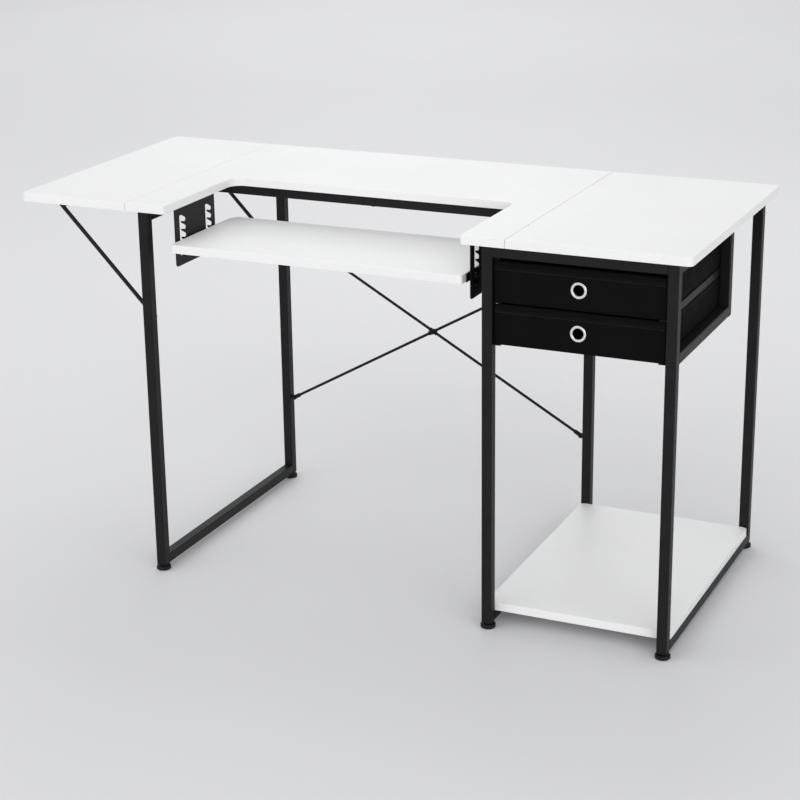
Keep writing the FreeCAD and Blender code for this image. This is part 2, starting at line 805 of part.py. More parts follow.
def bar_spots(side):
    """Screws that hold a rail under one end of the platform."""
    x, outwards = BARS[side]
    middle = "%s - bar_flange / 2" if outwards > 0 else "%s + bar_flange / 2"
    ends = ("bar_from + stud_on_bar / 2", "bar_from + stud_on_bar + stud_spacing / 2")
    return [(middle % x, y) for y in ends]


def make_platform_rails():
    """Angle rails on the ends of the platform, each with a skirt and shouldered studs for the slots."""
    studs = []
    screws = []
    columns = ("stud_on_bar", "stud_on_bar + stud_spacing")
    for side, (x, outwards) in BARS.items():
        outer, inner = ("", "0 - ") if outwards > 0 else ("0 - ", "")
        body = new_body("platform_%s_rail" % side, (x, "bar_from", "platform_base"))
        sketch = new_sketch(body, "XZ_Plane")
        face = outer + "bar_sheet"
        edge = inner + "bar_flange"
        profile = [("0", "0"), ("0", "bar_rise"), (face, "bar_rise"), (face, "0 - bar_sheet")]
        add_outline(sketch, profile + [(edge, "0 - bar_sheet"), (edge, "0")])
        pad(body, sketch, "bar_length", True)
        sketch = new_sketch(body, "YZ_Plane")
        add_rectangle(sketch, ("stud_on_bar + skirt_start", "0 - skirt_drop"), ("bar_length", "0"))
        pad(body, sketch, "bar_sheet", outwards < 0)
        sketch = new_sketch(body, "YZ_Plane")
        add_circles(sketch, [(column, "stud_rise") for column in columns], "stud_radius + stud_slack")
        pocket(body, sketch, "bar_sheet", outwards > 0)
        spots = bar_spots(side)
        sketch = new_sketch(body, "XY_Plane")
        local = [("%s - (%s)" % (spot_x, x), "%s - bar_from" % y) for spot_x, y in spots]
        add_circles(sketch, local, "screw_radius + screw_slack")
        pocket(body, sketch, "bar_sheet", False)

        way, sign = ("X", "+") if outwards > 0 else ("-X", "-")
        for index, column in enumerate(columns):
            name = "%s_stud_%d" % (side, index)
            y = "bar_from + %s" % column
            shank = rod(name + "_shank", (x, y, "stud_height"), "stud_radius", "stud_length", way)
            spot = ("%s %s bar_sheet" % (x, sign), y, "stud_height")
            collar = rod(name + "_collar", spot, "stud_collar", "stud_collar_height", way)
            studs.append(fuse(name, [shank, collar]))
        for index, (spot_x, y) in enumerate(spots):
            spot = (spot_x, y, "platform_base - bar_sheet")
            screws.append(screw("%s_bar_screw_%d" % (side, index), spot, "bar_sheet + screw_grip"))
    group("platform_studs", studs)
    group("platform_screws", screws)


def make_hinges():
    """Two butt hinges under the seam between the main top and the leaf."""
    fixed = []
    moving = []
    pins = []
    sheet_base = "under_top - hinge_sheet"
    for index, middle in enumerate(HINGE_ROWS):
        start = "%s - hinge_length / 2" % middle
        step = "(knuckle_length + knuckle_gap)"
        knuckles = ["%s + %d * %s" % (start, row, step) for row in range(3)]

        def leaf(name, sign, rows):
            """Plate with the knuckles that it carries, its bore and its screw holes."""
            low = "hinge_x + hinge_start" if sign > 0 else "hinge_x - hinge_start - hinge_plate"
            size = ("hinge_plate", "hinge_length", "hinge_sheet")
            pieces = [box(name + "_plate", (low, start, sheet_base), size)]
            for row in rows:
                tongue_low = "hinge_x" if sign > 0 else "hinge_x - hinge_start"
                size = ("hinge_start", "knuckle_length", "hinge_sheet")
                pieces.append(box(name + "_tongue", (tongue_low, knuckles[row], sheet_base), size))
                spot = ("hinge_x", knuckles[row], "hinge_z")
                pieces.append(rod(name + "_knuckle", spot, "knuckle_radius", "knuckle_length", "Y"))
            axis = ("hinge_x", start, "hinge_z")
            tools = [rod(name + "_bore", axis, "hinge_pin + running_gap", "hinge_length", "Y")]
            for x, y in hinge_spots(sign)[2 * index:2 * index + 2]:
                spot = (x, y, sheet_base)
                hole_radius = "screw_radius + screw_slack"
                tools.append(rod(name + "_hole", spot, hole_radius, "hinge_sheet", "Z"))
            return cut(name, fuse(name + "_solid", pieces), fuse(name + "_tools", tools))

        fixed.append(leaf("fixed_hinge_%d" % index, 1, (0, 2)))
        moving.append(leaf("moving_hinge_%d" % index, -1, (1,)))
        axis = ("hinge_x", start, "hinge_z")
        pins.append(rod("hinge_pin_%d" % index, axis, "hinge_pin", "hinge_length", "Y"))
    group("hinge_fixed_plates", fixed)
    group("hinge_moving_plates", moving)
    group("hinge_pins", pins)


def make_struts():
    """Struts from the left legs to clips under the leaf, drawn along X and swung into place."""
    pivots = []
    clips = []
    for row, (y, inwards) in strut_rows().items():
        name = row + "_strut"
        front = ("0", "0 - strut_eye_sheet / 2", "0")
        eye = rod(name + "_eye", front, "strut_eye", "strut_eye_sheet", "Y")
        corner = (front[0], front[1], "0 - strut_neck_half")
        neck = box(name + "_neck", corner, ("strut_eye_neck", "strut_eye_sheet", "2 * strut_neck_half"))
        start = ("strut_eye_neck - strut_radius", "0", "0")
        shaft_length = "strut_length - strut_eye_neck + 2 * strut_radius"
        shaft = rod(name + "_shaft", start, "strut_radius", shaft_length, "X")
        pin_way = "Y" if inwards > 0 else "-Y"
        pin = rod(name + "_pin", ("strut_length", "0", "0"), "strut_pin", "strut_pin_length", pin_way)
        bore = rod(name + "_bore", front, "pivot_radius + running_gap", "strut_eye_sheet", "Y")
        strut = cut(name, fuse(name + "_solid", [eye, neck, shaft, pin]), bore)
        swing(strut, UPWARDS, "strut_angle", ("strut_x", y, "strut_z"))
        keep(strut, name)

        face = "rail_start" if inwards > 0 else "rear_leg"
        sign = "+" if inwards > 0 else "-"
        steps = [("0", "pivot_flange", "strut_spacer"), ("strut_spacer", "pivot_radius", "strut_grip")]
        steps.append(("strut_spacer + strut_grip", "pivot_flange", "pivot_head"))
        pivot = [
            rod(
                "%s_pivot_step_%d" % (row, index),
                ("strut_x", "%s %s (%s)" % (face, sign, start), "strut_z"),
                radius,
                length,
                pin_way,
            )
            for index, (start, radius, length) in enumerate(steps)
        ]
        pivots.append(fuse(row + "_pivot", pivot))

        base = clip_low(row)
        corner = ("clip_x - clip_lead", base, "under_top - clip_plate")
        size = ("clip_lead + clip_tail", "clip_width", "clip_plate")
        plate = box(row + "_clip_plate", corner, size)
        corner = ("clip_x + strut_pin + clip_gap", base, "under_top - clip_height")
        wall = box(row + "_clip_wall", corner, ("clip_wall", "clip_width", "clip_height"))
        corner = ("clip_x + clip_lip_start", base, "under_top - clip_height")
        size = ("strut_pin + clip_gap - clip_lip_start + clip_wall", "clip_width", "clip_lip")
        lip = box(row + "_clip_lip", corner, size)
        spot = ("clip_x + clip_screw", "%s + clip_width / 2" % base, "under_top - clip_plate")
        hole = rod(row + "_clip_hole", spot, "screw_radius + screw_slack", "clip_plate", "Z")
        clips.append(cut(row + "_clip", fuse(row + "_clip_solid", [plate, wall, lip]), hole))
    group("strut_pivots", pivots)
    group("leaf_clips", clips)


def make_braces():
    """Two crossed rods with flattened eyes, bolted to tabs on the rear legs and to each other."""
    ends = {"left": "left_frame + tube_size", "inner": "inner_frame - tab_hole_in"}
    holes = {"left": "brace_left", "inner": "brace_left + brace_run"}
    heights = {"low": "brace_low", "high": "brace_high"}
    tabs = []
    bolts = []
    hole_radius = "bolt_radius + bolt_slack"
    for frame, x in ends.items():
        for level, z in heights.items():
            name = "%s_%s_tab" % (frame, level)
            corner = (x, "tab_front", z + " - tab_half")
            spot = (holes[frame], "tab_front", z)
            plate = box(name + "_plate", corner, ("tab_hole_in", "tab_sheet", "2 * tab_half"))
            end = rod(name + "_end", spot, "tab_round", "tab_sheet", "Y")
            hole = rod(name + "_hole", spot, hole_radius, "tab_sheet", "Y")
            tabs.append(cut(name, fuse(name + "_solid", [plate, end]), hole))
            rising = (frame == "left") == (level == "low")
            front = "tab_front - brace_pad" if rising else "tab_front"
            bolts.append(bolt("%s_%s_bolt" % (frame, level), (holes[frame], front, z), "brace_apart"))
    middle = ("brace_left + brace_run / 2", "tab_front - brace_pad", "brace_low + brace_rise / 2")
    bolts.append(bolt("crossing_bolt", middle, "brace_apart + brace_pad", "tab_front"))
    group("brace_tabs", tabs)
    group("frame_bolts", bolts)

    starts = {
        "rising_brace": ("tab_front - brace_pad / 2", "brace_low", UPWARDS),
        "falling_brace": ("tab_front + tab_sheet + brace_pad / 2", "brace_high", DOWNWARDS),
    }
    for name, (y, z, axis) in starts.items():
        pieces = []
        tools = []
        for index, spot in enumerate(("0", "brace_length / 2", "brace_length")):
            low = (spot, "0 - brace_pad / 2", "0")
            pieces.append(rod("%s_eye_%d" % (name, index), low, "brace_eye", "brace_pad", "Y"))
            tools.append(rod("%s_hole_%d" % (name, index), low, hole_radius, "brace_pad", "Y"))
        necks = [("0", "brace_neck"), ("brace_length - brace_neck", "brace_neck")]
        necks.append(("brace_length / 2 - crossing_neck", "2 * crossing_neck"))
        for index, (start, length) in enumerate(necks):
            corner = (start, "0 - brace_pad / 2", "0 - brace_neck_half")
            size = (length, "brace_pad", "2 * brace_neck_half")
            pieces.append(box("%s_neck_%d" % (name, index), corner, size))
        shaft_length = "brace_length / 2 - brace_neck - crossing_neck + 2 * brace_radius"
        shafts = ("brace_neck - brace_radius", "brace_length / 2 + crossing_neck - brace_radius")
        for index, start in enumerate(shafts):
            spot = (start, "0", "0")
            pieces.append(rod("%s_shaft_%d" % (name, index), spot, "brace_radius", shaft_length, "X"))
        brace = cut(name, fuse(name + "_solid", pieces), fuse(name + "_tools", tools))
        swing(brace, axis, "brace_angle", ("brace_left", y, z))
        keep(brace, name)


def make_screws():
    """Screws that hold the worktop, the plates, the hinges, the clips and the shelf."""
    long_grip = "tube_size + screw_grip"
    unit_spots = frame_spots("inner_frame") + frame_spots("right_frame")
    flange_spots = plate_spots("left") + plate_spots("right")
    kinds = [
        (frame_spots("left_frame") + unit_spots, "top_rail", long_grip),
        ([MID_RAIL_SPOT] + UNIT_RAIL_SPOTS, "top_rail", long_grip),
        (unit_spots, "frame_lift", long_grip),
        (flange_spots, "under_top - plate_sheet", "plate_sheet + screw_grip"),
        (hinge_spots(1), "under_top - hinge_sheet", "hinge_sheet + screw_grip"),
    ]
    screws = []
    for kind, (spots, z, length) in enumerate(kinds):
        for index, (x, y) in enumerate(spots):
            screws.append(screw("frame_screw_%d_%d" % (kind, index), (x, y, z), length))
    group("frame_screws", screws)

    kinds = [
        (hinge_spots(-1), "under_top - hinge_sheet", "hinge_sheet + screw_grip"),
        (CLIP_SPOTS, "under_top - clip_plate", "clip_plate + screw_grip"),
    ]
    screws = []
    for kind, (spots, z, length) in enumerate(kinds):
        for index, (x, y) in enumerate(spots):
            screws.append(screw("leaf_screw_%d_%d" % (kind, index), (x, y, z), length))
    group("leaf_screws", screws)


def check_document():
    """Stop if any object failed or any sub-part has no sound shape."""
    doc.recompute()
    for item in doc.Objects:
        if {"Invalid", "Error"} & set(item.State):
            raise RuntimeError("failed: %s %s" % (item.Label, item.State))
    for item in parts:
        if item.Shape.isNull() or not item.Shape.isValid() or not item.Shape.Solids:
            raise RuntimeError("no sound shape: " + item.Label)


fill_sheet()
make_boards()
make_frames()
make_feet()
make_runners()
make_drawers()
make_plates()
make_platform_rails()
make_hinges()
make_struts()
make_braces()
make_screws()
check_document()

os.makedirs("parts", exist_ok=True)
for part in parts:
    part.Shape.exportStep("parts/%s.step" % part.Label)
print(len(parts), "sub-parts written")
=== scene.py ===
import math
import bmesh
import bpy
from mathutils import Matrix, Vector


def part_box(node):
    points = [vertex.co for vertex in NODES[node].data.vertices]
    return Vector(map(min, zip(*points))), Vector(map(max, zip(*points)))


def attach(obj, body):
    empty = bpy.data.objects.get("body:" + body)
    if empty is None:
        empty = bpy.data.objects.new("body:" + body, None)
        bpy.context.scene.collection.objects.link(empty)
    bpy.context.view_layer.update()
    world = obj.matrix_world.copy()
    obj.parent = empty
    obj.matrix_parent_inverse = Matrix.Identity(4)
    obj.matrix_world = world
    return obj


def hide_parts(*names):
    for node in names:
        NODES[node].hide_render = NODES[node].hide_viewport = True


# Looks of a folding sewing table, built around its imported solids. Metres, X right, Y back, Z up.

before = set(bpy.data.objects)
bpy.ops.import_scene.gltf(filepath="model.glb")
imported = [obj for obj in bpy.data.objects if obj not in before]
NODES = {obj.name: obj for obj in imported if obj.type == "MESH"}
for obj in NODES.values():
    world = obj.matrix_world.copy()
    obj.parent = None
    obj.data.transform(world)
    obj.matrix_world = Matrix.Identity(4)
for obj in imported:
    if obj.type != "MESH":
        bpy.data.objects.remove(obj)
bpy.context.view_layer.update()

MM = 0.001
FRAMES = ("left", "inner", "right")
ROWS = ("front", "rear")
LEVELS = ("upper", "lower")
BOARDS = ("main_top", "right_top", "left_leaf", "platform_board", "bottom_shelf")
FEET = ["%s_%s_foot" % (name, row) for name in FRAMES for row in ROWS]
PLASTIC = FEET + ["leg_plugs", "leaf_clips"]
STEEL = ["hinge_pins", "hinge_fixed_plates", "hinge_moving_plates"]
RINGS = ["%s_drawer_ring" % level for level in LEVELS]


# Camera fitted to the photograph's view

CAMERA_PLACE = Vector((1.5806, -3.4663, 1.6259))
CAMERA_YAW = math.radians(24.582)
CAMERA_PITCH = math.radians(18.857)
CAMERA_ROLL = math.radians(-0.759)
FOCAL_PIXELS = 1990.93
IMAGE_PIXELS = 800.0
SENSOR = 36.0


def make_camera():
    """Camera in front and to the right of the table, looking down at it."""
    forward = Vector((
        -math.sin(CAMERA_YAW) * math.cos(CAMERA_PITCH),
        math.cos(CAMERA_YAW) * math.cos(CAMERA_PITCH),
        -math.sin(CAMERA_PITCH),
    ))
    level = Vector((math.cos(CAMERA_YAW), math.sin(CAMERA_YAW), 0.0))
    upright = level.cross(forward)
    right = level * math.cos(CAMERA_ROLL) + upright * math.sin(CAMERA_ROLL)
    up = upright * math.cos(CAMERA_ROLL) - level * math.sin(CAMERA_ROLL)
    data = bpy.data.cameras.new("camera")
    data.sensor_width = SENSOR
    data.lens = FOCAL_PIXELS / IMAGE_PIXELS * SENSOR
    camera = bpy.data.objects.new("camera", data)
    turn = Matrix((right, up, -forward)).transposed().to_4x4()
    camera.matrix_world = Matrix.Translation(CAMERA_PLACE) @ turn
    bpy.context.scene.collection.objects.link(camera)
    bpy.context.scene.camera = camera


# Studio

FLOOR_REACH = 40.0
FLOOR_CELLS = 8
FLOOR_GAP = 0.5 * MM
SKY_COLOUR = (0.98, 0.985, 1.0, 1.0)
SKY_STRENGTH = 0.70
TABLE_MIDDLE = (0.0, 0.0, 0.4)
FRONT_PLACE = (2.4, -7.5, 2.0)
FRONT_SOFTNESS = math.radians(70.0)
FRONT_STRENGTH = 1.2

# Light panels: name, place, what they point at, width and power in watts
PANELS = (
    ("key", (-2.2, -2.6, 3.2), TABLE_MIDDLE, 3.2, 23.0),
    ("fill", (3.4, -2.2, 1.8), TABLE_MIDDLE, 3.0, 26.0),
    ("behind", (-0.7, 2.2, 3.2), (-0.7, 1.6, 0.0), 2.6, 26.0),
    ("back", (-3.2, 7.0, 4.5), (-3.2, 7.0, 0.0), 3.5, 60.0),
)


def aim_light(data, place, aim):
    """Hang a light at a place and turn it to what it lights."""
    light = bpy.data.objects.new(data.name, data)
    light.location = place
    light.rotation_euler = (Vector(aim) - Vector(place)).to_track_quat("-Z", "Y").to_euler()
    bpy.context.scene.collection.objects.link(light)


def make_stage():
    """Pale floor, even sky, soft light panels and one broad light from the front."""
    builder = bmesh.new()
    bmesh.ops.create_grid(builder, x_segments=FLOOR_CELLS, y_segments=FLOOR_CELLS, size=FLOOR_REACH)
    floor = new_piece("floor", builder, floor_material())
    floor.location.z = -FLOOR_GAP

    world = bpy.data.worlds.new("studio")
    bpy.context.scene.world = world
    world.use_nodes = True
    background = world.node_tree.nodes["Background"]
    background.inputs["Color"].default_value = SKY_COLOUR
    background.inputs["Strength"].default_value = SKY_STRENGTH
    for name, place, aim, width, power in PANELS:
        data = bpy.data.lights.new(name, "AREA")
        data.shape = "DISK"
        data.size = width
        data.energy = power
        aim_light(data, place, aim)
    front = bpy.data.lights.new("front", "SUN")
    front.angle = FRONT_SOFTNESS
    front.energy = FRONT_STRENGTH
    aim_light(front, FRONT_PLACE, TABLE_MIDDLE)
    bpy.context.scene.view_settings.view_transform = "Standard"


# Node helpers for the materials

class Shader:
    """A material with one surface shader and short calls for its nodes."""

    def __init__(self, name):
        self.material = bpy.data.materials.new(name)
        self.material.use_nodes = True
        self.tree = self.material.node_tree
        self.surface = self.tree.nodes["Principled BSDF"]
        self.place = self.add("ShaderNodeTexCoord").outputs["Object"]

    def add(self, kind, **values):
        node = self.tree.nodes.new(kind)
        for key, value in values.items():
            setattr(node, key, value)
        return node

    def join(self, source, socket):
        self.tree.links.new(source, socket)

    def texture(self, kind, place=None, settings=None, **numbers):
        """A texture node read at a place, with numbers for its sockets."""
        node = self.add(kind, **(settings or {}))
        self.join(place or self.place, node.inputs["Vector"])
        for key, number in numbers.items():
            node.inputs[key].default_value = number
        return node

    def noise(self, scale, detail=2.0, rough=0.5, place=None):
        node = self.texture("ShaderNodeTexNoise", place, Scale=scale, Detail=detail, Roughness=rough)
        return node.outputs["Fac"]

    def cells(self, scale):
        return self.texture("ShaderNodeTexVoronoi", Scale=scale).outputs["Distance"]

    def waves(self, axis, scale, distortion, detail):
        settings = {"bands_direction": axis}
        numbers = {"Scale": scale, "Distortion": distortion, "Detail": detail}
        return self.texture("ShaderNodeTexWave", settings=settings, **numbers).outputs["Fac"]

    def stretch(self, scale):
        return self.texture("ShaderNodeMapping", Scale=scale).outputs["Vector"]

    def ramp(self, value, low, high, start=0.3, end=0.7):
        """A colour or number that goes from low to high as the value goes from start to end."""
        if isinstance(low, float):
            node = self.add("ShaderNodeMapRange")
            self.join(value, node.inputs["Value"])
            sockets = ("From Min", "From Max", "To Min", "To Max")
            for socket, number in zip(sockets, (start, end, low, high)):
                node.inputs[socket].default_value = number
            return node.outputs["Result"]
        node = self.add("ShaderNodeValToRGB")
        self.join(value, node.inputs["Fac"])
        for element, position, colour in zip(node.color_ramp.elements, (start, end), (low, high)):
            element.position = position
            element.color = (*colour, 1.0)
        return node.outputs["Color"]

    def combine(self, first, second, mode="ADD"):
        """Two values, or a value and a number, joined by arithmetic."""
        node = self.add("ShaderNodeMath", operation=mode)
        for socket, value in zip(node.inputs, (first, second)):
            if isinstance(value, float):
                socket.default_value = value
            else:
                self.join(value, socket)
        return node.outputs["Value"]

    def colour(self, output):
        self.join(output, self.surface.inputs["Base Color"])

    def rough(self, output):
        self.join(output, self.surface.inputs["Roughness"])

    def bump(self, height, strength, distance):
        node = self.add("ShaderNodeBump")
        node.inputs["Strength"].default_value = strength
        node.inputs["Distance"].default_value = distance
        self.join(height, node.inputs["Height"])
        self.join(node.outputs["Normal"], self.surface.inputs["Normal"])

    def set(self, **values):
        """Numbers that are the same all over the surface."""
        for key, value in values.items():
            self.surface.inputs[key.replace("_", " ")].default_value = value


# Materials

def laminate():
    """White melamine with a fine pearl texture and faint clouding."""
    made = Shader("white_laminate")
    clouds = made.noise(scale=3.0, detail=3.0)
    pearl = made.noise(scale=900.0, rough=0.6)
    made.colour(made.ramp(clouds, low=(0.80, 0.80, 0.796), high=(0.835, 0.835, 0.832)))
    made.rough(made.ramp(made.noise(scale=60.0), low=0.36, high=0.46))
    made.bump(pearl, strength=0.12, distance=0.3 * MM)
    made.set(Specular_IOR_Level=0.45)
    return made.material


def powder_coat():
    """Satin black powder coat with its fine orange peel."""
    made = Shader("black_powder_coat")
    clouds = made.noise(scale=25.0, detail=3.0)
    peel = made.combine(made.noise(scale=1500.0), made.noise(scale=420.0, detail=1.0))
    made.colour(made.ramp(clouds, low=(0.005, 0.005, 0.0051), high=(0.008, 0.008, 0.0081)))
    made.rough(made.ramp(made.noise(scale=340.0), low=0.4, high=0.54))
    made.bump(peel, strength=0.16, distance=0.3 * MM)
    made.set(Specular_IOR_Level=0.2)
    return made.material


def moulded_plastic():
    """Matte black moulded plastic with a spark-eroded grain."""
    made = Shader("black_plastic")
    clouds = made.noise(scale=40.0)
    made.colour(made.ramp(clouds, low=(0.004, 0.004, 0.0041), high=(0.008, 0.008, 0.0081)))
    made.rough(made.ramp(made.noise(scale=500.0), low=0.5, high=0.64))
    made.bump(made.cells(scale=1800.0), strength=0.2, distance=0.2 * MM)
    made.set(Specular_IOR_Level=0.25)
    return made.material


def zinc():
    """Bright zinc plate, faintly brushed and mottled."""
    made = Shader("zinc_steel")
    spangle = made.noise(scale=180.0, detail=4.0, rough=0.6)
    brushing = made.noise(scale=1.0, place=made.stretch((300.0, 2500.0, 300.0)))
    made.colour(made.ramp(spangle, low=(0.52, 0.53, 0.54), high=(0.66, 0.66, 0.65)))
    made.rough(made.ramp(made.noise(scale=260.0, detail=3.0), low=0.26, high=0.42))
    made.bump(brushing, strength=0.08, distance=0.2 * MM)
    made.set(Metallic=1.0)
    return made.material


def nickel():
    """Satin nickel of the drawer eyelets, with fine turning marks."""
    made = Shader("ring_nickel")
    clouds = made.noise(scale=90.0, detail=3.0)
    made.colour(made.ramp(clouds, low=(0.84, 0.84, 0.83), high=(0.91, 0.91, 0.905)))
    made.rough(made.ramp(made.noise(scale=400.0, detail=3.0), low=0.24, high=0.36))
    made.bump(made.noise(scale=1400.0), strength=0.05, distance=0.2 * MM)
    made.set(Metallic=1.0)
    return made.material


def fabric(name, dark, pale):
    """Black drawer fabric: a fine plain weave with fuzz and faint clouding."""
    made = Shader(name)
    across, along, upright = (
        made.waves(axis, scale=190.0, distortion=0.8, detail=1.0) for axis in ("X", "Y", "Z")
    )
    weave_share = 0.6
    weave = made.combine(made.combine(across, along, "MULTIPLY"), upright, "MAXIMUM")
    fuzz = made.noise(scale=700.0, detail=3.0, rough=0.7)
    height = made.combine(made.combine(weave, weave_share, "MULTIPLY"), fuzz)
    made.colour(made.ramp(height, dark, pale, start=0.4, end=1.0))
    made.rough(made.ramp(made.noise(scale=30.0, detail=3.0), low=0.78, high=0.92))
    made.bump(height, strength=0.35, distance=0.3 * MM)
    made.set(Sheen_Weight=0.012, Sheen_Roughness=0.5, Specular_IOR_Level=0.05)
    return made.material


def thread():
    """Twisted black sewing thread, a little brighter than the fabric."""
    made = Shader("black_thread")
    twist = made.noise(scale=1.0, detail=1.0, place=made.stretch((2200.0, 2200.0, 900.0)))
    made.colour(made.ramp(twist, low=(0.008, 0.008, 0.0082), high=(0.02, 0.02, 0.0205)))
    made.rough(made.ramp(made.noise(scale=900.0), low=0.5, high=0.7))
    made.bump(twist, strength=0.3, distance=0.1 * MM)
    made.set(Specular_IOR_Level=0.3)
    return made.material


def floor_material():
    """Pale matte studio floor with faint clouding."""
    made = Shader("studio_floor")
    made.colour(made.ramp(made.noise(scale=0.6), low=(0.71, 0.71, 0.72), high=(0.725, 0.725, 0.735)))
    made.rough(made.ramp(made.noise(scale=4.0), low=0.7, high=0.8))
    made.set(Specular_IOR_Level=0.1)
    return made.material


def dress(names, material):
    """Give solids of the frame a material."""
    for name in names:
        mesh = NODES[name].data
        mesh.materials.clear()
        mesh.materials.append(material)


# Mesh helpers

def new_piece(name, builder, material):
    """Turn a finished bmesh into a smooth-shaded object in the scene."""
    bmesh.ops.recalc_face_normals(builder, faces=builder.faces)
    for face in builder.faces:
        face.smooth = True
    mesh = bpy.data.meshes.new(name)
    builder.to_mesh(mesh)
    builder.free()
    mesh.materials.append(material)
    piece = bpy.data.objects.new(name, mesh)
    bpy.context.scene.collection.objects.link(piece)
    return piece


def soften(piece):
    """One level of smooth subdivision."""
    smooth = piece.modifiers.new("soften", "SUBSURF")
    smooth.levels = 1
    smooth.render_levels = 1


def belong(piece, body):
    """Let a piece move with a body."""
    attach(piece, body)


def add_loft(builder, loops, caps=False):
    """Skin a run of closed loops that have the same number of points."""
    rows = [[builder.verts.new(point) for point in loop] for loop in loops]
    for low, high in zip(rows, rows[1:]):
        add_band(builder, low, high)
    if caps:
        builder.faces.new(rows[0])
        builder.faces.new(rows[-1])
    return rows


def add_band(builder, low, high):
    """Faces between two closed loops of corners."""
    count = len(low)
    for index in range(count):
        follower = (index + 1) % count
        builder.faces.new((low[index], low[follower], high[follower], high[index]))


def spread(low, high, count):
    """Numbers evenly spaced from low to high."""
    return [low + (high - low) * index / (count - 1) for index in range(count)]


# Fabric drawers: a soft bin, a padded front with an eyelet hole, tape over its edge, and stitches

# Bin. Waves are in radians along its walls, and the phase in radians for a metre of height
WALL = 2.6 * MM
BIN_WALLS = 3
BIN_HEIGHT = 74 * MM
BIN_CORNER = 7 * MM
BIN_BOW = 0.7 * MM
BIN_BOW_CHANGE = 0.35 * MM
BIN_BOW_WAVES = 23.0
BIN_BOW_PHASE = 130.0
BIN_SAG = 1.1 * MM
BIN_SEAM = 1.5 * MM
BIN_LIFT = 0.4 * MM
BIN_FLOOR = 3 * MM
BIN_FLOOR_EASE = 0.6 * MM
BIN_HEM = 9 * MM
HEM_PROUD = 0.45 * MM
HEM_STEP = 0.8 * MM
HEM_ROLL = 3 * MM
HEM_TIP = 0.6 * MM
SIDE_POINTS = 30
CORNER_POINTS = 9
BACK_POINTS = 28
WALL_POINTS = 9

# Padded front. Ripples are in radians for a metre
PANEL_DEPTH = 6 * MM
PANEL_OVERLAP = 1.5 * MM
FRONT_THICK = 8.6 * MM
FRONT_FACE = 0.15 * MM
FRONT_HOLE = 12 * MM
FRONT_CORNER = 2.5 * MM
FRONT_EASE = 1.4 * MM
EASE_WIDTH = 9 * MM
EASE_FRONT = 3 * MM
EASE_BACK = 2 * MM
BACK_EASE_SHARE = 0.4
RIPPLE = 0.35 * MM
RIPPLE_START = 26 * MM
RIPPLE_CALM = 0.65
RIPPLE_ACROSS = 70.0
RIPPLE_UP = 45.0
RIPPLE_PHASE = 90.0
RIM_STEP = 5 * MM
LOOP_COUNT = 13
LOOP_CROWDING = 1.4
CORNER_STEPS = 5

# Tape over the front's top edge. Waves are in radians for a metre
TAPE = 1.2 * MM
TAPE_HEIGHT = 16 * MM
TAPE_PROUD = 0.45 * MM
TAPE_LEAN = 3.2 * MM
TAPE_REAR = 0.3 * MM
TAPE_RIDGE = 2.4 * MM
TAPE_END = 0.3 * MM
TAPE_WAVE = 0.3 * MM
TAPE_SHORT_WAVES = 61.0
TAPE_LONG_WAVES = 23.0
TAPE_WAVE_PHASE = 2.0
TAPE_WAVE_DEPTH = 0.5
TAPE_SLICES = 90
TAPE_POINTS = 9

# Stitches. Taper, crown and dip are shares of the thread's radius
STITCH_PITCH = 4.4 * MM
STITCH_LENGTH = 3.2 * MM
STITCH_RADIUS = 0.38 * MM
STITCH_TAPER = 0.65
STITCH_CROWN = 0.2
STITCH_DIP = 0.5
STITCH_MARGIN = 4 * MM
STITCH_RISE = 2.4 * MM
STITCH_SIDES = 6
STITCH_SLICES = 5

ACROSS = Vector((1.0, 0.0, 0.0))
BACKWARDS = Vector((0.0, 1.0, 0.0))
UPWARDS = Vector((0.0, 0.0, 1.0))


def wall_path(low, high):
    """Points and outward directions along the sides and back of a drawer, from front to front."""
    side = [
        (Vector((low.x, y, 0.0)), -ACROSS)
        for y in spread(low.y, high.y - BIN_CORNER, SIDE_POINTS)
    ]
    centre = Vector((low.x + BIN_CORNER, high.y - BIN_CORNER, 0.0))
    for angle in spread(math.pi, math.pi / 2, CORNER_POINTS)[1:-1]:
        out = Vector((math.cos(angle), math.sin(angle), 0.0))
        side.append((centre + out * BIN_CORNER, out))
    back = [
        (Vector((x, high.y, 0.0)), BACKWARDS)
        for x in spread(low.x + BIN_CORNER, high.x - BIN_CORNER, BACK_POINTS)
    ]
    other_side = [
        (Vector((low.x + high.x - place.x, place.y, 0.0)), Vector((-out.x, out.y, 0.0)))
        for place, out in reversed(side)
    ]
    return side + back + other_side


def wall_section(lean):
    """Section of a drawer wall as offsets out and up: a limp sheet with a folded hem."""
    hem = BIN_HEIGHT - BIN_HEM
    rises = spread(BIN_SEAM, hem, WALL_POINTS)
    line = [(lean * math.sin(math.pi * rise / BIN_HEIGHT), 0.0, rise) for rise in rises]
    line = [(0.0, 0.0, BIN_LIFT)] + line + [(line[-1][0], HEM_PROUD, hem + HEM_STEP)]
    line += [(0.0, HEM_PROUD, BIN_HEIGHT - HEM_ROLL), (0.0, 0.0, BIN_HEIGHT - HEM_TIP)]
    outer = [(bow + proud, rise) for bow, proud, rise in line]
    inner = [(bow - WALL - proud, rise) for bow, proud, rise in reversed(line)]
    return outer + [(-WALL / 2, BIN_HEIGHT)] + inner


